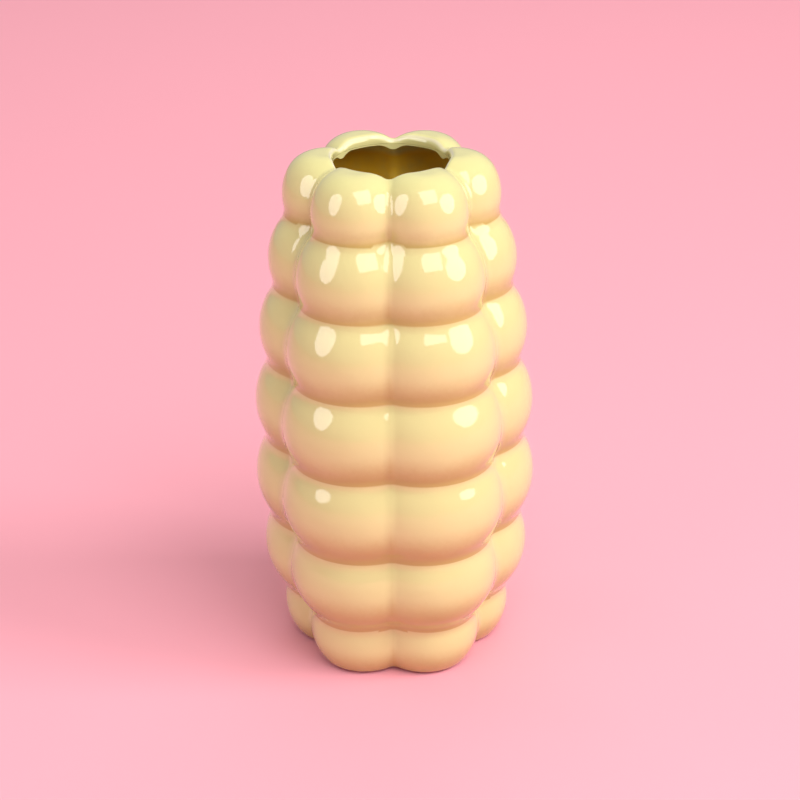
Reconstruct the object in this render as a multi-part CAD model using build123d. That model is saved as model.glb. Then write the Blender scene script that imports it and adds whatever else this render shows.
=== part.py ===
from build123d import *
from math import cos, radians, sin, sqrt
import os

# Pillow vase: six upright columns of seven puffed tiers round one bore, slip-cast and glazed.
# Millimetres, +Z up, origin on the table at the middle of the foot, a crease facing -Y.

# Counts
COLUMNS = 6
TIERS = 7
BELLY_TIER = 3

# Crown radii of the bare clay, from the vase axis
BOTTOM_RADIUS = 54.0
BELLY_RADIUS = 65.5
TOP_RADIUS = 48.5

# Shape of the pillows, as shares of their crown radius
TIER_ROUNDNESS = 0.492
TIER_PITCH = 0.578

# Axis that a column is turned about, as a share of the narrower of foot and top;
# the columns of the inside are turned a little nearer the vase axis
COLUMN_AXIS_SHARE = 0.5897
INNER_AXIS_SHIFT = 1.3

# Where the table cuts the lowest tier, and how the highest turns over to the mouth
FOOT_ANGLE = 38.0
SHOULDER_ANGLE = 28.0
SHOULDER_RADIUS = 13.2

# Soft valleys between the pillows
TIER_CREASE_RADIUS = 5.0
COLUMN_CREASE_SHARE = 0.8

# Wall, mouth and foot
WALL = 4.0
FLOOR = 6.0
MOUTH_RADIUS = 26.5
LIP_RADIUS = 2.5
FOOT_EDGE_RADIUS = 6.0
FOOT_RECESS_RADIUS = 31.0
FOOT_RECESS_DEPTH = 1.5

# Glaze coats
GLAZE = 0.5
DRY_FOOT = 1.0

HALF_SECTOR = 180.0 / COLUMNS
FOOT_RADIUS = BOTTOM_RADIUS * (1 - TIER_ROUNDNESS * (1 - cos(radians(FOOT_ANGLE))))
COLUMN_AXIS = COLUMN_AXIS_SHARE * min(FOOT_RADIUS, TOP_RADIUS)
INNER_AXIS = COLUMN_AXIS - INNER_AXIS_SHIFT
REACH = 4.0 * BELLY_RADIUS
NEAR = 0.01


def crown_radius(tier):
    if tier < BELLY_TIER:
        share = (BELLY_TIER - tier) / (BELLY_TIER - 1)
        return BELLY_RADIUS - (BELLY_RADIUS - BOTTOM_RADIUS) * share**2
    share = (tier - BELLY_TIER) / (TIERS - BELLY_TIER)
    return BELLY_RADIUS - (BELLY_RADIUS - TOP_RADIUS) * share**2


def tier_circles():
    """Centre and radius of the circle behind each tier, in the plane of one column."""
    circles = []
    height = TIER_ROUNDNESS * crown_radius(1) * sin(radians(FOOT_ANGLE))
    for tier in range(1, TIERS + 1):
        crown = crown_radius(tier)
        if tier > 1:
            height += TIER_PITCH * (crown + crown_radius(tier - 1)) / 2
        radius = TIER_ROUNDNESS * crown
        circles.append((Vector(crown - radius, height), radius))
    return circles


CIRCLES = tier_circles()
TOP_CENTRE, TOP_CIRCLE_RADIUS = CIRCLES[-1]
SHOULDER_AIM = Vector(cos(radians(SHOULDER_ANGLE)), sin(radians(SHOULDER_ANGLE)))
SHOULDER_CENTRE = TOP_CENTRE + SHOULDER_AIM * (TOP_CIRCLE_RADIUS - SHOULDER_RADIUS)
HEIGHT = SHOULDER_CENTRE.Y + SHOULDER_RADIUS
MOUTH_FLOOR = HEIGHT - WALL


def toward(centre, target, distance):
    return centre + (target - centre).normalized() * distance


def valley_centre(lower, upper):
    """Centre of the valley arc that touches two neighbouring tier circles from outside."""
    lower_centre, lower_radius = lower
    upper_centre, upper_radius = upper
    a = lower_radius + TIER_CREASE_RADIUS
    b = upper_radius + TIER_CREASE_RADIUS
    line = upper_centre - lower_centre
    along = (a**2 - b**2 + line.length**2) / (2 * line.length)
    side = sqrt(a**2 - along**2)
    step = line.normalized()
    return lower_centre + step * along + Vector(step.Y, -step.X) * side


def arc_about(centre, start, end):
    middle = toward(centre, (start + end) / 2, (start - centre).length)
    return ThreePointArc(start, middle, end)


def column_section(offset, axis, base):
    """Half section of one column, moved outward by offset and cut off at the base height."""
    first_centre, first_radius = CIRCLES[0]
    reach = sqrt((first_radius + offset) ** 2 - (base - first_centre.Y) ** 2)
    foot = Vector(first_centre.X + reach, base)
    outline = []
    start = foot
    for lower, upper in zip(CIRCLES, CIRCLES[1:]):
        valley = valley_centre(lower, upper)
        leave = toward(lower[0], valley, lower[1] + offset)
        land = toward(upper[0], valley, upper[1] + offset)
        outline.append(arc_about(lower[0], start, leave))
        outline.append(arc_about(valley, leave, land))
        start = land
    shoulder = toward(TOP_CENTRE, SHOULDER_CENTRE, TOP_CIRCLE_RADIUS + offset)
    crest = SHOULDER_CENTRE + Vector(0, SHOULDER_RADIUS + offset)
    outline.append(arc_about(TOP_CENTRE, start, shoulder))
    outline.append(arc_about(SHOULDER_CENTRE, shoulder, crest))
    axis_top = Vector(axis, crest.Y)
    axis_base = Vector(axis, base)
    outline.append(Polyline(crest, axis_top, axis_base, foot))
    return Plane.XZ * make_face(outline)


def sector(first, last):
    """Wedge of space between two angles about the vase axis."""
    corners = [
        (0, 0),
        (REACH * cos(radians(first)), REACH * sin(radians(first))),
        (REACH * cos(radians(last)), REACH * sin(radians(last))),
    ]
    return extrude(make_face(Polyline(*corners, close=True)), 2 * HEIGHT, both=True)


def upright(radius, low, high):
    """Round bar on the vase axis between two heights."""
    return Pos(0, 0, (low + high) / 2) * Cylinder(radius, high - low)


def out_from_axis(point):
    return Vector(point.X, point.Y).length


def lobed_solid(offset, axis, base, bore, core_top):
    """Turned columns set off from the clay surface, round a core that ends at core_top."""
    column = revolve(column_section(offset, axis, base), Axis((axis, 0, 0), (0, 0, 1)))
    half = column & sector(0, HALF_SECTOR)
    half -= upright(bore, base, 2 * HEIGHT)
    across = Vector(-sin(radians(HALF_SECTOR)), cos(radians(HALF_SECTOR)), 0)
    pair = half + mirror(half, Plane((0, 0, 0), x_dir=(0, 0, 1), z_dir=across))
    creases = [
        edge
        for edge in pair.edges()
        if all(abs(edge.position_at(share).dot(across)) < NEAR for share in (0.1, 0.5, 0.9))
        and edge.center().Z > base + NEAR
        and out_from_axis(edge.center()) > bore + NEAR
    ]
    pair = fillet(creases, COLUMN_CREASE_SHARE * (TIER_CREASE_RADIUS - max(offset, 0)))
    ring = pair + [Rot(0, 0, 2 * HALF_SECTOR * turn) * pair for turn in range(1, COLUMNS)]
    return ring + upright(bore, base, core_top)


def round_lip(solid, bore, radius):
    """Rounds the rim where the bore comes out through the tops of the lobes."""
    rim = [
        edge
        for edge in solid.edges()
        if edge.geom_type != GeomType.LINE
        and edge.center().Z > MOUTH_FLOOR + NEAR
        and all(abs(out_from_axis(edge.position_at(share)) - bore) < NEAR for share in (0, 0.5, 1))
    ]
    return fillet(rim, radius)


def round_foot(solid, radius):
    """Turns the lowest tier under, all round the base."""
    base = solid.faces().sort_by(Axis.Z)[0]
    return fillet(base.outer_wire().edges(), radius)


glaze_bore = MOUTH_RADIUS - GLAZE
glazed = lobed_solid(GLAZE, COLUMN_AXIS, -GLAZE, glaze_bore, MOUTH_FLOOR)
glazed = round_lip(glazed, glaze_bore, LIP_RADIUS + GLAZE)
glazed = round_foot(glazed, FOOT_EDGE_RADIUS + GLAZE)
glazed -= upright(BOTTOM_RADIUS, -GLAZE, DRY_FOOT)
bare = lobed_solid(0, COLUMN_AXIS, 0, MOUTH_RADIUS, MOUTH_FLOOR)
bare = round_lip(bare, MOUTH_RADIUS, LIP_RADIUS)
bare = round_foot(bare, FOOT_EDGE_RADIUS)
cavity = lobed_solid(-WALL, INNER_AXIS, FLOOR, MOUTH_RADIUS, MOUTH_FLOOR)
lined = lobed_solid(-WALL - GLAZE, INNER_AXIS, FLOOR + GLAZE, glaze_bore, HEIGHT)

clay_body = bare - cavity - upright(FOOT_RECESS_RADIUS, 0, FOOT_RECESS_DEPTH)
outer_glaze = glazed - bare
liner_glaze = cavity - lined

os.makedirs("parts", exist_ok=True)
export_step(clay_body, "parts/clay_body.step")
export_step(outer_glaze, "parts/outer_glaze.step")
export_step(liner_glaze, "parts/liner_glaze.step")
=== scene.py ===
from math import asin, atan2, cos, hypot, pi, radians, sin, sqrt
from typing import NamedTuple

import bmesh
import bpy
from bpy.props import FloatProperty, FloatVectorProperty, IntProperty, PointerProperty
from mathutils import Matrix, Vector


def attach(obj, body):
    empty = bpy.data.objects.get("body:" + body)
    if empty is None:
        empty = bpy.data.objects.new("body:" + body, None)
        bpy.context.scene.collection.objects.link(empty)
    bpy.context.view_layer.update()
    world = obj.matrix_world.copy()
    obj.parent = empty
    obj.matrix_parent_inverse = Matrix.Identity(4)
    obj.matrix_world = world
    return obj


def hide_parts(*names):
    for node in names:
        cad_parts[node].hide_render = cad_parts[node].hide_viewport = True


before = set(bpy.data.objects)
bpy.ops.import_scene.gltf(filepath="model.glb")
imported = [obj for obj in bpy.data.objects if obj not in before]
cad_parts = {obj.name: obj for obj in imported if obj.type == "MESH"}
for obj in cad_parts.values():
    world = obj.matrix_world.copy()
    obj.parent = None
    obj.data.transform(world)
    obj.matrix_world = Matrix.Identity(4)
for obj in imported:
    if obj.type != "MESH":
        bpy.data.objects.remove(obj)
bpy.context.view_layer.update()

bl_info = {
    "name": "Pillow Vase",
    "version": (1, 0, 0),
    "blender": (4, 5, 0),
    "location": "3D View > Sidebar > Vase",
    "description": "Glazes a slip-cast pillow vase and sets it in a small studio",
    "category": "Object",
}

BODY = "root"


class VaseForm(bpy.types.PropertyGroup):
    """Sizes of the glazed outside of the vase"""

    columns: IntProperty(
        name="Columns", description="Upright columns of pillows round the vase", default=6)
    tiers: IntProperty(
        name="Tiers", description="Pillows in each column", default=7)
    belly_tier: IntProperty(
        name="Belly tier", description="Widest tier, counted from the foot", default=3)
    bottom_radius: FloatProperty(
        name="Bottom radius", description="Crown radius of the lowest tier",
        default=0.054, unit="LENGTH")
    belly_radius: FloatProperty(
        name="Belly radius", description="Crown radius of the widest tier",
        default=0.0655, unit="LENGTH")
    top_radius: FloatProperty(
        name="Top radius", description="Crown radius of the highest tier",
        default=0.0485, unit="LENGTH")
    roundness: FloatProperty(
        name="Roundness", description="Radius of a tier's arc as a share of its crown radius",
        default=0.492, subtype="FACTOR")
    pitch: FloatProperty(
        name="Pitch", description="Rise from tier to tier as a share of their crown radius",
        default=0.578, subtype="FACTOR")
    column_axis: FloatProperty(
        name="Column axis", description="Distance of a column's axis from the vase's",
        default=0.02852, unit="LENGTH")
    foot_angle: FloatProperty(
        name="Foot angle", description="Where the table cuts the lowest tier",
        default=radians(38), subtype="ANGLE")
    foot_edge: FloatProperty(
        name="Foot edge", description="Arc that turns the lowest tier under",
        default=0.006, unit="LENGTH")
    shoulder_angle: FloatProperty(
        name="Shoulder angle", description="Where the highest tier turns over",
        default=radians(28), subtype="ANGLE")
    shoulder_radius: FloatProperty(
        name="Shoulder radius", description="Arc that turns the highest tier over",
        default=0.0132, unit="LENGTH")
    tier_valley: FloatProperty(
        name="Tier valley", description="Radius of the valley between two tiers",
        default=0.005, unit="LENGTH")
    tier_melt: FloatProperty(
        name="Tier melt", description="How far the glaze fills the valley between tiers",
        default=0.0045, unit="LENGTH")
    column_melt: FloatProperty(
        name="Column melt", description="How far the glaze fills the crease between columns",
        default=0.0024, unit="LENGTH")
    mouth_radius: FloatProperty(
        name="Mouth radius", description="Radius of the hole in the bare clay",
        default=0.0265, unit="LENGTH")
    lip_radius: FloatProperty(
        name="Lip radius", description="Rounding of the bare clay's lip",
        default=0.0025, unit="LENGTH")
    wall: FloatProperty(
        name="Wall", description="Thickness of the clay", default=0.004, unit="LENGTH")
    glaze: FloatProperty(
        name="Glaze", description="Thickness of the coat", default=0.0005, unit="LENGTH")
    dry_foot: FloatProperty(
        name="Dry foot", description="Height above the table where the coat ends",
        default=0.001, unit="LENGTH")


class VaseFinish(bpy.types.PropertyGroup):
    """Colours of the glaze and the clay"""

    butter: FloatVectorProperty(
        name="Butter", description="Glaze on the crowns of the pillows",
        default=(0.725, 0.67, 0.30), size=3, subtype="COLOR")
    # Honey is the glaze's own darker tone and also painted shade: under each tier, in the valleys and
    # inside the vase
    honey_and_shade: FloatVectorProperty(
        name="Honey", description="Glaze pooled in the valleys",
        default=(0.52, 0.39, 0.11), size=3, subtype="COLOR")
    # Cream only makes the crest of the lip paler
    cream: FloatVectorProperty(
        name="Cream", description="Glaze worn thin over the lip",
        default=(0.84, 0.76, 0.54), size=3, subtype="COLOR")
    # Ochre is painted shade inside the vase, and also the stain of pinholes in the glaze and grit in the
    # clay
    ochre_stain_and_shade: FloatVectorProperty(
        name="Ochre", description="Glaze poured inside",
        default=(0.78, 0.47, 0.03), size=3, subtype="COLOR")
    # The clay is buff, partly darkened as painted shade for the dark line under the foot
    clay: FloatVectorProperty(
        name="Clay", description="Bare fired clay of the foot",
        default=(0.62, 0.48, 0.34), size=3, subtype="COLOR")
    gloss: FloatProperty(
        name="Gloss", description="Roughness of the fired glaze", default=0.07, subtype="FACTOR")


class VaseStudio(bpy.types.PropertyGroup):
    """Floor, lights and camera round the vase"""

    floor: FloatVectorProperty(
        name="Floor", description="Colour of the paper floor",
        default=(0.93, 0.40, 0.485), size=3, subtype="COLOR")
    room: FloatVectorProperty(
        name="Room", description="Colour of the light from the room",
        default=(1.0, 0.96, 0.94), size=3, subtype="COLOR")
    room_strength: FloatProperty(
        name="Room strength", description="Even light from all round", default=0.43)
    lamps: FloatProperty(
        name="Lamps", description="Strength of all the soft lamps", default=1.0)
    distance: FloatProperty(
        name="Camera distance", description="From the lens to the middle of the vase",
        default=0.889, unit="LENGTH")
    elevation: FloatProperty(
        name="Elevation", description="Camera's height as an angle",
        default=radians(26.03), subtype="ANGLE")
    azimuth: FloatProperty(
        name="Azimuth", description="Camera's turn round the vase",
        default=radians(2.05), subtype="ANGLE")
    roll: FloatProperty(
        name="Roll", description="Camera's lean", default=radians(-0.68), subtype="ANGLE")
    lens: FloatProperty(
        name="Lens", description="Focal length", default=85.2, subtype="DISTANCE_CAMERA")


# Steps of the coat's mesh along the parts of a column's profile, and round half a column
FOOT_STEPS = 6
TIER_STEPS = 16
VALLEY_STEPS = 8
SHOULDER_STEPS = 9
CREST_STEPS = 4
LIP_STEPS = 9
BORE_STEPS = 4
HALF_COLUMN_STEPS = 20

# How strongly the steps round a column crowd towards the crease
CREASE_CROWDING = 0.7

# Share of the tier melt that counts as full painted shade in a valley, slope under a tier that counts
# as full painted shade on its underside, and share of the lip's rounding that counts as its crest
VALLEY_SHADE_SHARE = 0.32
UNDERSIDE_SHADE_ANGLE = radians(36)
LIP_SHARE = 0.707

# How far off the form a point of the mesh starts, the share of the gap that it walks at each try,
# the gap that counts as closed, and the most tries it gets
START_OFF = 0.002
STRIDE = 0.9
CLOSE = 1e-7
SETTLE_TRIES = 200

# Distance at which two points of the mesh become one
MERGE = 2e-6

# Axis of the vase
VASE_FOOT = (0, 0, 0)
UP = (0, 0, 1)


def soft_join(a, b, melt):
    """Distance to two bodies run together with a rounded valley."""
    return max(melt, min(a, b)) - hypot(max(melt - a, 0), max(melt - b, 0))


def soft_cut(a, b, edge):
    """Distance to what two bodies share, with a rounded edge."""
    u, v = a + edge, b + edge
    return min(max(u, v), 0) + hypot(max(u, 0), max(v, 0)) - edge


def share_of(part, whole):
    """How much of the whole a part is, kept between 0 and 1."""
    return min(max(part / whole, 0), 1)


class Circle(NamedTuple):
    """Circle behind one arc of the profile, in the upright plane through a column."""

    x: float
    z: float
    radius: float

    def gap(self, x, z):
        """Distance of a point from the circle, less than 0 inside."""
        return hypot(x - self.x, z - self.z) - self.radius

    def angle_to(self, x, z):
        """Angle above level at which the centre sees a point."""
        return atan2(z - self.z, x - self.x)


class GlazedForm:
    """Outside of the glaze: turned columns of tiers that run into each other round the mouth."""

    def __init__(self, sizes):
        self.sizes = sizes
        self.half = pi / sizes.columns
        self.axis = sizes.column_axis
        self.bore = sizes.mouth_radius - sizes.glaze
        self.lip = sizes.lip_radius + sizes.glaze
        self.tiers = self.tier_circles()
        lowest = self.tiers[0]
        reach = lowest.radius - sizes.glaze - sizes.foot_edge
        self.foot_lean = asin((lowest.z - sizes.foot_edge) / reach)
        self.foot = Circle(
            lowest.x + reach * cos(self.foot_lean), sizes.foot_edge, sizes.foot_edge + sizes.glaze)
        self.foot_blend = self.foot.radius * (1 - sin(sizes.foot_angle))
        highest = self.tiers[-1]
        reach = highest.radius - sizes.glaze - sizes.shoulder_radius
        self.shoulder = Circle(
            highest.x + reach * cos(sizes.shoulder_angle),
            highest.z + reach * sin(sizes.shoulder_angle),
            sizes.shoulder_radius + sizes.glaze,
        )
        self.top = self.shoulder.z + self.shoulder.radius
        self.mouth_floor = self.top - sizes.glaze - sizes.wall

    def crown(self, tier):
        """Crown radius of a tier's bare clay, counted from the foot."""
        sizes = self.sizes
        if tier < sizes.belly_tier:
            share = (sizes.belly_tier - tier) / (sizes.belly_tier - 1)
            return sizes.belly_radius - (sizes.belly_radius - sizes.bottom_radius) * share**2
        share = (tier - sizes.belly_tier) / (sizes.tiers - sizes.belly_tier)
        return sizes.belly_radius - (sizes.belly_radius - sizes.top_radius) * share**2

    def tier_circles(self):
        """Circles behind the tiers of one column, from the foot up."""
        sizes = self.sizes
        circles = []
        height = sizes.roundness * self.crown(1) * sin(sizes.foot_angle)
        for tier in range(1, sizes.tiers + 1):
            crown = self.crown(tier)
            if tier > 1:
                height += sizes.pitch * (crown + self.crown(tier - 1)) / 2
            radius = sizes.roundness * crown
            circles.append(Circle(crown - radius, height, radius + sizes.glaze))
        return circles

    def valley(self, lower, upper):
        """Circle of the valley outside two neighbouring tiers."""
        room = self.sizes.tier_valley - self.sizes.glaze
        a, b = lower.radius + room, upper.radius + room
        dx, dz = upper.x - lower.x, upper.z - lower.z
        length = hypot(dx, dz)
        along = (a**2 - b**2 + length**2) / (2 * length)
        side = sqrt(a**2 - along**2)
        return Circle(
            lower.x + (dx * along + dz * side) / length,
            lower.z + (dz * along - dx * side) / length,
            room,
        )

    def coat_end(self):
        """Angle on the foot's arc where the coat ends above the table."""
        return asin((self.sizes.dry_foot - self.foot.z) / self.foot.radius)

    def arcs(self):
        """Circle, sweep and steps of each arc of a column's crown, from the foot to the shoulder."""
        start = -self.foot_lean
        runs = [(self.foot, start - self.coat_end(), FOOT_STEPS)]
        for lower, upper in zip(self.tiers, self.tiers[1:]):
            valley = self.valley(lower, upper)
            leave = lower.angle_to(valley.x, valley.z)
            land = upper.angle_to(valley.x, valley.z)
            runs.append((lower, leave - start, TIER_STEPS))
            runs.append((valley, land - leave, VALLEY_STEPS))
            start = land
        runs.append((self.tiers[-1], self.sizes.shoulder_angle - start, TIER_STEPS))
        runs.append((self.shoulder, pi / 2 - self.sizes.shoulder_angle, SHOULDER_STEPS))
        return runs

    def section(self, r, away):
        """Where a point lies in a column's own section, from its radius and its angle to the column."""
        return self.axis + sqrt(r * r + self.axis**2 - 2 * r * self.axis * cos(away))

    def tier_gaps(self, x, z):
        """Distances to the tiers of one column, in its own section, nearest first."""
        gaps = [tier.gap(x, z) for tier in self.tiers]
        shoulder = self.shoulder
        if z > shoulder.z and x < shoulder.x:
            gaps[-1] = z - self.top
        elif z > shoulder.z and shoulder.angle_to(x, z) > self.sizes.shoulder_angle:
            gaps[-1] = shoulder.gap(x, z)
        return sorted(gaps)

    def columns_at(self, r, turn, z):
        """Tier distances of the two nearest columns at a point given by radius, angle and height."""
        return [self.tier_gaps(self.section(r, away), z) for away in (turn, 2 * self.half - turn)]

    def outside(self, r, turn, z):
        """Distance to the columns, run together by the glaze."""
        melt = self.sizes.tier_melt
        columns = [soft_join(*gaps[:2], melt) for gaps in self.columns_at(r, turn, z)]
        return soft_join(*columns, self.sizes.column_melt)

    def gap(self, r, turn, z):
        """Distance to the coat, with its mouth opened and its foot turned under."""
        open_top = soft_cut(self.outside(r, turn, z), self.bore - r, self.lip)
        return soft_cut(open_top, -self.sizes.glaze - z, self.foot_blend)

    def pool(self, r, turn, z):
        """Painted shade in the valleys here, from 0 on a crown to 1."""
        bare = min(gaps[0] for gaps in self.columns_at(r, turn, z))
        return share_of(bare, VALLEY_SHADE_SHARE * self.sizes.tier_melt)

    def underside_shade(self, r, turn, z):
        """Painted shade on the underside of its tier here: 0 from the crown up, 1 under the tier."""
        x = self.section(r, turn)
        tier = min(self.tiers, key=lambda circle: circle.gap(x, z))
        return share_of(-tier.angle_to(x, z), UNDERSIDE_SHADE_ANGLE)

    def lip_edge(self, r, turn, z):
        """1 on the crest of the lip, 0 away from it."""
        over = min(self.outside(r, turn, z), self.bore - r) + self.lip
        return share_of(over, LIP_SHARE * self.lip)


def run_arc(bm, pen, outward, x, z, sweep, steps):
    """Draws an arc of the profile with a vertex and marks the outward direction of each point."""
    before = set(bm.verts)
    turned = bmesh.ops.spin(
        bm, geom=[pen], cent=(x, 0, z), axis=(0, -1, 0), angle=sweep, steps=steps, use_merge=False)
    for vert in bm.verts:
        if vert not in before:
            away = Vector((vert.co.x - x, 0, vert.co.z - z)).normalized()
            vert[outward] = -away if sweep < 0 else away
    return next(item for item in turned["geom_last"] if isinstance(item, bmesh.types.BMVert))


def run_straight(bm, pen, outward, move, steps):
    """Draws a straight part of the profile in equal steps."""
    for _ in range(steps):
        made = bmesh.ops.extrude_vert_indiv(bm, verts=[pen])
        direction = pen[outward].copy()
        pen = made["verts"][0]
        pen[outward] = direction
        bmesh.ops.translate(bm, verts=[pen], vec=Vector(move) / steps)
    return pen


def trace_crown(bm, form, outward):
    """Crown profile of the coat, from the dry foot over the shoulder and down into the mouth."""
    foot = form.foot
    start = form.coat_end()
    pen = bm.verts.new((foot.x + foot.radius * cos(start), 0, foot.z + foot.radius * sin(start)))
    for circle, sweep, steps in form.arcs():
        pen = run_arc(bm, pen, outward, circle.x, circle.z, sweep, steps)
    edge = form.bore + form.lip
    pen = run_straight(bm, pen, outward, (edge - pen.co.x, 0, 0), CREST_STEPS)
    pen = run_arc(bm, pen, outward, edge, form.top - form.lip, pi / 2, LIP_STEPS)
    run_straight(bm, pen, outward, (0, 0, form.mouth_floor - pen.co.z), BORE_STEPS)
    for vert in bm.verts:
        if vert.co.z < form.tiers[0].z:
            vert[outward] = Vector((1, 0, 0))


def settle(form, vert, outward, turn):
    """Walks a point of the turned profile inward until it lies on the coat."""
    direction = vert[outward]
    r = hypot(vert.co.x, vert.co.y) + START_OFF * direction.x
    z = vert.co.z + START_OFF * direction.z
    for _ in range(SETTLE_TRIES):
        gap = form.gap(r, turn, z)
        if abs(gap) < CLOSE:
            break
        r -= STRIDE * gap * direction.x
        z -= STRIDE * gap * direction.z
    else:
        raise RuntimeError(f"a point of the coat at height {z:.4f} did not settle on the form")
    vert.co = (r * cos(turn), r * sin(turn), z)
    return r, z


def everything(bm):
    """All the geometry of a mesh, for an operator that takes any kind."""
    return bm.verts[:] + bm.edges[:] + bm.faces[:]


def coat_mesh(form):
    """One half column pressed to the form, mirrored and repeated round the vase."""
    bm = bmesh.new()
    outward = bm.verts.layers.float_vector.new("outward")
    # The next two layers hold painted shade: in the valleys, and under each tier
    pool = bm.verts.layers.float.new("pool")
    underside_shade = bm.verts.layers.float.new("underside_shade")
    lip_edge = bm.verts.layers.float.new("lip_edge")
    trace_crown(bm, form, outward)
    bmesh.ops.spin(
        bm, geom=everything(bm), cent=VASE_FOOT, axis=UP, angle=form.half,
        steps=HALF_COLUMN_STEPS, use_merge=False)
    for vert in bm.verts:
        share = atan2(vert.co.y, vert.co.x) / form.half
        turn = form.half * (share + CREASE_CROWDING * sin(pi * share) / pi)
        r, z = settle(form, vert, outward, turn)
        # Shares of painted shade for the glaze's colour: in the valleys, and under the tier
        vert[pool] = form.pool(r, turn, z)
        vert[underside_shade] = form.underside_shade(r, turn, z)
        vert[lip_edge] = form.lip_edge(r, turn, z)
    bm.verts.layers.float_vector.remove(outward)
    bmesh.ops.mirror(bm, geom=everything(bm), merge_dist=MERGE, axis="Y")
    copies = form.sizes.columns - 1
    bmesh.ops.spin(
        bm, geom=everything(bm), cent=VASE_FOOT, axis=UP, angle=2 * form.half * copies,
        steps=copies, use_duplicate=True)
    bmesh.ops.remove_doubles(bm, verts=bm.verts, dist=MERGE)
    bmesh.ops.recalc_face_normals(bm, faces=bm.faces)
    return bm


# Middle of a noise, which it wanders about
NOISE_MIDDLE = 0.5

# Places of the colours among a Mix node's sockets
COLOUR_A = 6
COLOUR_B = 7
COLOUR_RESULT = 2


class Wire:
    """A shader value that can be used in Python sums."""

    def __init__(self, finish, socket):
        self.finish = finish
        self.socket = socket

    def sum(self, operation, *values):
        return self.finish.node("ShaderNodeMath", {"operation": operation}, dict(enumerate(values)))

    def __add__(self, other):
        return self.sum("ADD", self, other)

    __radd__ = __add__

    def __sub__(self, other):
        return self.sum("SUBTRACT", self, other)

    def __rsub__(self, other):
        return self.sum("SUBTRACT", other, self)

    def __mul__(self, other):
        return self.sum("MULTIPLY", self, other)

    __rmul__ = __mul__

    def __gt__(self, other):
        return self.sum("GREATER_THAN", self, other)

    def swing(self, amount):
        """A noise's wander to both sides of nothing, times an amount."""
        return (self - NOISE_MIDDLE) * amount


class Finish:
    """A material under construction."""

    def __init__(self, name):
        self.material = bpy.data.materials.new(name)
        self.material.use_nodes = True
        self.tree = self.material.node_tree
        self.tree.nodes.clear()
        self.surface = self.tree.nodes.new("ShaderNodeBsdfPrincipled")
        output = self.tree.nodes.new("ShaderNodeOutputMaterial")
        self.tree.links.new(self.surface.outputs[0], output.inputs["Surface"])

    def node(self, kind, settings=None, sockets=None, output=0):
        """Adds a node with its settings and inputs, and gives one of its outputs."""
        node = self.tree.nodes.new(kind)
        for key, value in (settings or {}).items():
            setattr(node, key, value)
        for key, value in (sockets or {}).items():
            self.plug(node, key, value)
        return Wire(self, node.outputs[output])

    def plug(self, node, key, value):
        """Links a wire to an input, or gives the input a fixed value."""
        if isinstance(value, Wire):
            self.tree.links.new(value.socket, node.inputs[key])
        else:
            node.inputs[key].default_value = value

    def set(self, **sockets):
        """Fills the surface's inputs, named with underscores for spaces."""
        for key, value in sockets.items():
            self.plug(self.surface, key.replace("_", " "), value)

    def place(self):
        return self.node("ShaderNodeTexCoord", output="Object")

    def height(self, place):
        return self.node("ShaderNodeSeparateXYZ", None, {"Vector": place}, output="Z")

    def attribute(self, name):
        return self.node("ShaderNodeAttribute", {"attribute_name": name}, output="Fac")

    def noise(self, place, scale, detail):
        return self.node("ShaderNodeTexNoise", None, {"Vector": place, "Scale": scale, "Detail": detail})

    def fade(self, value, low, high):
        """0 below low, 1 above high, smooth between."""
        return self.node(
            "ShaderNodeMapRange", {"interpolation_type": "SMOOTHSTEP"},
            {"Value": value, "From Min": low, "From Max": high})

    def mix(self, share, first, second):
        """The first colour at share 0, the second at share 1."""
        return self.node(
            "ShaderNodeMix", {"data_type": "RGBA"},
            {"Factor": share, COLOUR_A: rgba(first), COLOUR_B: rgba(second)}, output=COLOUR_RESULT)

    def bump(self, height, distance, strength):
        return self.node(
            "ShaderNodeBump", None, {"Height": height, "Distance": distance, "Strength": strength})


def rgba(colour):
    """A colour with its alpha; a wire stays as it is."""
    return colour if isinstance(colour, Wire) else (*colour, 1.0)


def toned(colour, times):
    """A colour made paler or darker."""
    return [min(channel * times, 1) for channel in colour]


# Share of a speckle's radius where it starts to fade
SPECKLE_HEART = 0.5


def speckles(finish, place, scale, radius, share):
    """Sparse round dots, one to a cell of the given scale, kept in a share of the cells."""
    cells = finish.node("ShaderNodeTexVoronoi", None, {"Vector": place, "Scale": scale})
    chance = finish.node(
        "ShaderNodeTexVoronoi", None, {"Vector": place, "Scale": scale}, output="Color")
    red = finish.node("ShaderNodeSeparateColor", None, {"Color": chance})
    dot = 1 - finish.fade(cells, low=radius * scale * SPECKLE_HEART, high=radius * scale)
    return dot * (red > 1 - share)


# Refraction of the glazes, and how deep the bumps of their faces are
GLASS_IOR = 1.5
GLAZE_RELIEF = 0.0006

# What each cause adds to the darkening of the butter glaze towards honey, the valleys and undersides
# being painted shade, and the darkening that is all honey
VALLEY_SHADE_DEPTH = 0.25
UNDERSIDE_SHADE_DEPTH = 0.95
DRIFT_DEPTH = 0.4
MOTTLE_DEPTH = 0.10
HONEY_DEPTH = 0.8

# Where the cream starts on the lip, and how much it covers
CREAM_START = 0.45
CREAM_COVER = 0.8

# Pinholes in the butter glaze, the waves and peel of its face as shares of the relief,
# and how far its roughness wanders
PIT_STAIN = 0.5
PIT_ROUGHNESS = 0.3
PIT_DENT = 0.3
WAVE_HEIGHT = 0.8
PEEL_HEIGHT = 0.04
GLOSS_SWING = 0.04


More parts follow.
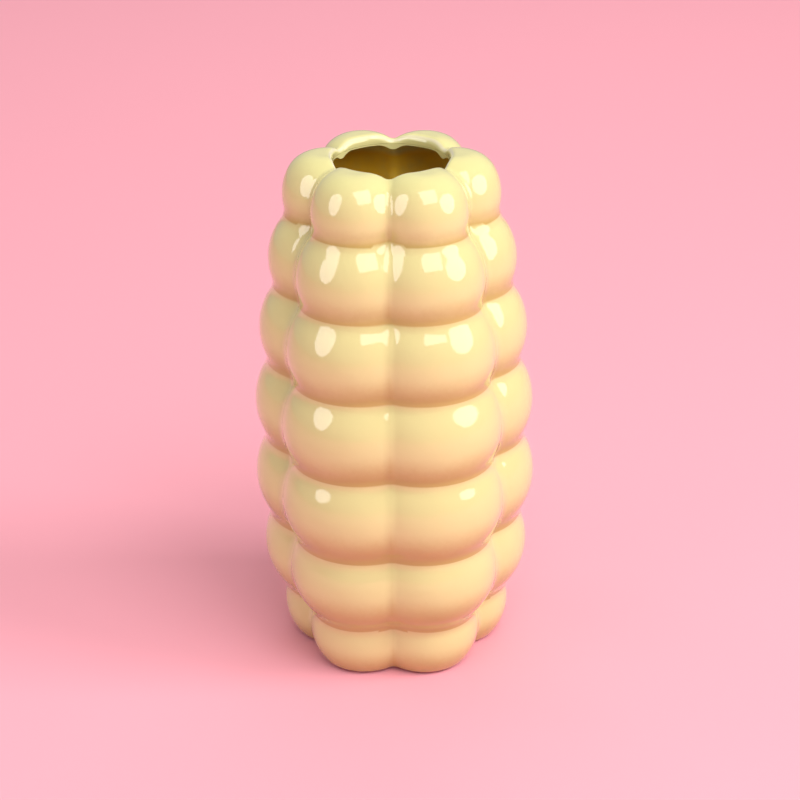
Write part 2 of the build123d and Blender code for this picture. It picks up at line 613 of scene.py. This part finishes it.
def butter_glaze(colours):
    """Gloss coat that goes from butter to honey with random drift and as painted shade under each tier
    and in the valleys, and to a paler cream over the crest of the lip.
    """
    finish = Finish("butter_glaze")
    place = finish.place()
    # Painted shade in the valleys and under each tier, read from the mesh
    pool = finish.attribute("pool")
    underside_shade = finish.attribute("underside_shade")
    lip_edge = finish.attribute("lip_edge")
    drift = finish.noise(place, scale=28.0, detail=3.0)
    mottle = finish.noise(place, scale=420.0, detail=2.0)
    pits = speckles(finish, place, scale=70.0, radius=0.0006, share=0.10)
    # Painted shade: honey in the valleys and under each tier; drift and mottle are the glaze's own
    # random tone
    darkening = pool * VALLEY_SHADE_DEPTH + underside_shade * UNDERSIDE_SHADE_DEPTH + drift.swing(DRIFT_DEPTH) + mottle.swing(MOTTLE_DEPTH)
    colour = finish.mix(finish.fade(darkening, low=0.0, high=HONEY_DEPTH), colours.butter, colours.honey_and_shade)
    # Paler cream over the crest of the lip
    lip_cream = finish.fade(lip_edge, low=CREAM_START, high=1.0)
    colour = finish.mix(lip_cream * CREAM_COVER, colour, colours.cream)
    colour = finish.mix(pits * PIT_STAIN, colour, colours.ochre_stain_and_shade)
    waves = finish.noise(place, scale=60.0, detail=1.5)
    peel = finish.noise(place, scale=700.0, detail=1.0)
    height = waves * WAVE_HEIGHT + peel * PEEL_HEIGHT - pits * PIT_DENT
    finish.set(
        Base_Color=colour,
        Roughness=colours.gloss + drift.swing(GLOSS_SWING) + pits * PIT_ROUGHNESS,
        IOR=GLASS_IOR,
        Coat_Weight=0.85,
        Coat_Roughness=0.05,
        Normal=finish.bump(height, distance=GLAZE_RELIEF, strength=0.8),
    )
    return finish.material


# Heights between which the liner turns from its painted ochre shade to the collar's butter
COLLAR_FOOT = 0.230
COLLAR_TOP = 0.234

# Shares of drift and streak in the liner's colour and relief, its range from ochre to honey,
# and its roughness
LINER_DRIFT = 0.7
LINER_STREAK = 0.3
STREAK_HEIGHT = 0.1
LINER_OCHRE = 0.4
LINER_HONEY = 0.9
LINER_ROUGHNESS = 0.14
LINER_SWING = 0.06


def poured_glaze(colours):
    """Coat poured inside, painted ochre to honey as shade, with a collar of butter under the lip."""
    finish = Finish("liner_glaze")
    place = finish.place()
    drift = finish.noise(place, scale=35.0, detail=3.0)
    streak = finish.noise(place, scale=180.0, detail=2.0)
    darkening = finish.fade(drift * LINER_DRIFT + streak * LINER_STREAK, low=LINER_OCHRE, high=LINER_HONEY)
    # Painted shade: the inside is coloured ochre to honey, with random drift and streak
    colour = finish.mix(darkening, colours.ochre_stain_and_shade, colours.honey_and_shade)
    collar = finish.fade(finish.height(place), low=COLLAR_FOOT, high=COLLAR_TOP)
    colour = finish.mix(collar, colour, colours.butter)
    height = drift * LINER_DRIFT + streak * STREAK_HEIGHT
    finish.set(
        Base_Color=colour,
        Roughness=LINER_ROUGHNESS + drift.swing(LINER_SWING),
        IOR=GLASS_IOR,
        Normal=finish.bump(height, distance=GLAZE_RELIEF, strength=0.5),
    )
    return finish.material


# Shares of cloud and grain in the clay's tone, the range of that tone, and its two ends
CLAY_CLOUD = 0.6
CLAY_GRAIN = 0.4
TONE_LOW = 0.3
TONE_HIGH = 0.7
DARK_CLAY = 0.84
PALE_CLAY = 1.12

# Grit in the clay, and the relief and roughness of its face
GRIT_STAIN = 0.45
GRIT_DENT = 0.3
CLOUD_HEIGHT = 0.4
CLAY_RELIEF = 0.0003
CLAY_ROUGHNESS = 0.78
CLAY_SWING = 0.2


def fired_clay(colours):
    """Dry, gritty stoneware of the foot, its buff partly darkened as painted shade under the foot."""
    finish = Finish("bare_clay")
    place = finish.place()
    cloud = finish.noise(place, scale=45.0, detail=4.0)
    grain = finish.noise(place, scale=1500.0, detail=3.0)
    grit = speckles(finish, place, scale=350.0, radius=0.0006, share=0.25)
    tone = finish.fade(cloud * CLAY_CLOUD + grain * CLAY_GRAIN, low=TONE_LOW, high=TONE_HIGH)
    colour = finish.mix(tone, toned(colours.clay, DARK_CLAY), toned(colours.clay, PALE_CLAY))
    colour = finish.mix(grit * GRIT_STAIN, colour, colours.ochre_stain_and_shade)
    height = grain + cloud * CLOUD_HEIGHT - grit * GRIT_DENT
    finish.set(
        Base_Color=colour,
        Roughness=CLAY_ROUGHNESS + grain.swing(CLAY_SWING),
        Normal=finish.bump(height, distance=CLAY_RELIEF, strength=0.7),
    )
    return finish.material


# How much of the paper's fibres show, and how pale they are
FIBRE_COVER = 0.6
PALE_FIBRE = 1.02


def paper(colour):
    """Matt paper of the studio floor."""
    finish = Finish("floor_paper")
    fibre = finish.noise(finish.place(), scale=900.0, detail=3.0)
    finish.set(
        Base_Color=finish.mix(fibre * FIBRE_COVER, colour, toned(colour, PALE_FIBRE)),
        Roughness=0.85,
        Specular_IOR_Level=0.2,
    )
    return finish.material


def shown(name, bm, material):
    """Puts a finished mesh into the scene, smooth and with its material."""
    mesh = bpy.data.meshes.new(name)
    bm.to_mesh(mesh)
    bm.free()
    mesh.shade_smooth()
    mesh.materials.append(material)
    piece = bpy.data.objects.new(name, mesh)
    bpy.context.scene.collection.objects.link(piece)
    return piece


def dress(node, material):
    """Gives a CAD node its finish."""
    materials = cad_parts[node].data.materials
    materials.clear()
    materials.append(material)


class VASE_OT_butter_glaze(bpy.types.Operator):
    """Build the butter-yellow coat over the outside and the lip"""

    bl_idname = "vase.butter_glaze"
    bl_label = "Butter Glaze"

    def execute(self, context):
        form = GlazedForm(context.scene.vase_form)
        piece = shown("butter_coat", coat_mesh(form), butter_glaze(context.scene.vase_finish))
        skin = piece.modifiers.new("thickness", "SOLIDIFY")
        skin.thickness = form.sizes.glaze
        skin.offset = -1
        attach(piece, BODY)
        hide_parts("outer_glaze")
        return {"FINISHED"}


class VASE_OT_liner(bpy.types.Operator):
    """Finish the coat poured inside the vase, painted ochre as shade"""

    bl_idname = "vase.liner"
    bl_label = "Poured Liner"

    def execute(self, context):
        dress("liner_glaze", poured_glaze(context.scene.vase_finish))
        return {"FINISHED"}


class VASE_OT_clay(bpy.types.Operator):
    """Finish the fired clay, which shows at the foot and underneath"""

    bl_idname = "vase.clay"
    bl_label = "Bare Clay"

    def execute(self, context):
        dress("clay_body", fired_clay(context.scene.vase_finish))
        return {"FINISHED"}


class Lamp(NamedTuple):
    """A soft lamp; a sheen lamp shows only in the gloss, a fill lamp only in the shading."""

    name: str
    azimuth: float
    elevation: float
    distance: float
    size: tuple
    power: float
    colour: tuple
    use: str


# What the lamps and the camera are turned towards, and the shift of the camera's picture
VASE_MIDDLE = Vector((0, 0, 0.1193))
CAMERA_SHIFT = (0.0074, 0.0077)

# Paper floor, a hair below the foot so that the two faces don't lie in each other
FLOOR_RADIUS = 4.0
FLOOR_SIDES = 96
FLOOR_DROP = 0.0002

# Colours that more than one lamp has
DAYLIGHT = (1.0, 0.99, 0.97)
SUNNY = (1.0, 0.98, 0.93)

# Soft lamps round the vase, their azimuths and elevations in degrees
LAMPS = (
    Lamp("window", 24, 52, 1.2, (0.74, 0.88), 5.9, (1.0, 0.98, 0.94), "both"),
    Lamp("left", -58, 27, 1.1, (0.60, 0.94), 4.4, (1.0, 0.96, 0.97), "sheen"),
    Lamp("left_fill", -58, 30, 1.1, (0.60, 0.80), 1.0, (0.96, 1.0, 0.92), "fill"),
    Lamp("left_back", -112, 30, 3.0, (1.2, 1.2), 6.0, (0.96, 1.0, 0.97), "fill"),
    Lamp("right", 70, 24, 1.1, (0.80, 0.74), 4.8, SUNNY, "sheen"),
    Lamp("right_fill", 71, 27, 1.1, (0.74, 0.60), 2.3, SUNNY, "fill"),
    Lamp("far_front", 46, 54, 5.0, (2.0, 2.0), 50.0, DAYLIGHT, "fill"),
    Lamp("far_right", 80, 42, 5.0, (1.6, 1.6), 94.0, DAYLIGHT, "fill"),
    Lamp("back", 180, 40, 1.9, (1.6, 0.8), 5.8, DAYLIGHT, "fill"),
)


def way_out(azimuth, elevation):
    """Direction away from the vase at an azimuth from the front and an elevation."""
    return Vector((sin(azimuth) * cos(elevation), -cos(azimuth) * cos(elevation), sin(elevation)))


def lay_floor(colour):
    """Lays a round sheet of paper under the vase."""
    bm = bmesh.new()
    bmesh.ops.create_circle(bm, cap_ends=True, segments=FLOOR_SIDES, radius=FLOOR_RADIUS)
    bmesh.ops.translate(bm, verts=bm.verts, vec=(0, 0, -FLOOR_DROP))
    floor = shown("floor", bm, paper(colour))


def light_room(colour, strength):
    """Fills the room with even light."""
    world = bpy.data.worlds.new("room")
    world.use_nodes = True
    room = world.node_tree.nodes["Background"]
    room.inputs["Color"].default_value = rgba(colour)
    room.inputs["Strength"].default_value = strength
    bpy.context.scene.world = world


def hang_lamp(lamp, strength):
    """Hangs one soft lamp, turned towards the middle of the vase."""
    light = bpy.data.lights.new(lamp.name, "AREA")
    light.shape = "ELLIPSE" if lamp.use == "sheen" else "RECTANGLE"
    light.size, light.size_y = lamp.size
    light.energy = lamp.power * strength
    light.color = lamp.colour
    holder = bpy.data.objects.new(lamp.name, light)
    bpy.context.scene.collection.objects.link(holder)
    holder.visible_diffuse = lamp.use != "sheen"
    holder.visible_glossy = lamp.use != "fill"
    out = way_out(radians(lamp.azimuth), radians(lamp.elevation))
    holder.location = VASE_MIDDLE + out * lamp.distance
    holder.rotation_euler = (-out).to_track_quat("-Z", "Y").to_euler()


def place_camera(studio):
    """Puts the camera at its place round the vase, with its lean and shift."""
    back = way_out(studio.azimuth, studio.elevation)
    level = Vector((cos(studio.azimuth), sin(studio.azimuth), 0))
    rise = back.cross(level)
    right = level * cos(studio.roll) + rise * sin(studio.roll)
    up = rise * cos(studio.roll) - level * sin(studio.roll)
    spot = VASE_MIDDLE + back * studio.distance
    data = bpy.data.cameras.new("camera")
    data.lens = studio.lens
    data.shift_x, data.shift_y = CAMERA_SHIFT
    camera = bpy.data.objects.new("camera", data)
    bpy.context.scene.collection.objects.link(camera)
    camera.matrix_world = Matrix.Translation(spot) @ Matrix((right, up, back)).transposed().to_4x4()
    bpy.context.scene.camera = camera


class VASE_OT_studio(bpy.types.Operator):
    """Lay the floor, hang the lights and place the camera"""

    bl_idname = "vase.studio"
    bl_label = "Studio"

    def execute(self, context):
        studio = context.scene.vase_studio
        lay_floor(studio.floor)
        light_room(studio.room, studio.room_strength)
        for lamp in LAMPS:
            hang_lamp(lamp, studio.lamps)
        context.scene.view_settings.view_transform = "Standard"
        place_camera(studio)
        return {"FINISHED"}


class VASE_PT_panel(bpy.types.Panel):
    """Lists the vase's steps and settings"""

    bl_idname = "VASE_PT_panel"
    bl_label = "Pillow Vase"
    bl_space_type = "VIEW_3D"
    bl_region_type = "UI"
    bl_category = "Vase"

    def draw(self, context):
        for step in STEPS:
            self.layout.operator(step.bl_idname)
        for group in GROUPS:
            settings = getattr(context.scene, group)
            box = self.layout.box()
            for name in settings.__annotations__:
                box.prop(settings, name)


GROUPS = {"vase_form": VaseForm, "vase_finish": VaseFinish, "vase_studio": VaseStudio}
STEPS = [VASE_OT_butter_glaze, VASE_OT_liner, VASE_OT_clay, VASE_OT_studio]
CLASSES = [*GROUPS.values(), *STEPS, VASE_PT_panel]


def register():
    for cls in CLASSES:
        bpy.utils.register_class(cls)
    for name, group in GROUPS.items():
        setattr(bpy.types.Scene, name, PointerProperty(type=group))


def unregister():
    for name in GROUPS:
        delattr(bpy.types.Scene, name)
    for cls in reversed(CLASSES):
        bpy.utils.unregister_class(cls)


def main():
    register()
    bpy.ops.vase.butter_glaze()
    bpy.ops.vase.liner()
    bpy.ops.vase.clay()
    bpy.ops.vase.studio()


if __name__ == "__main__":
    main()
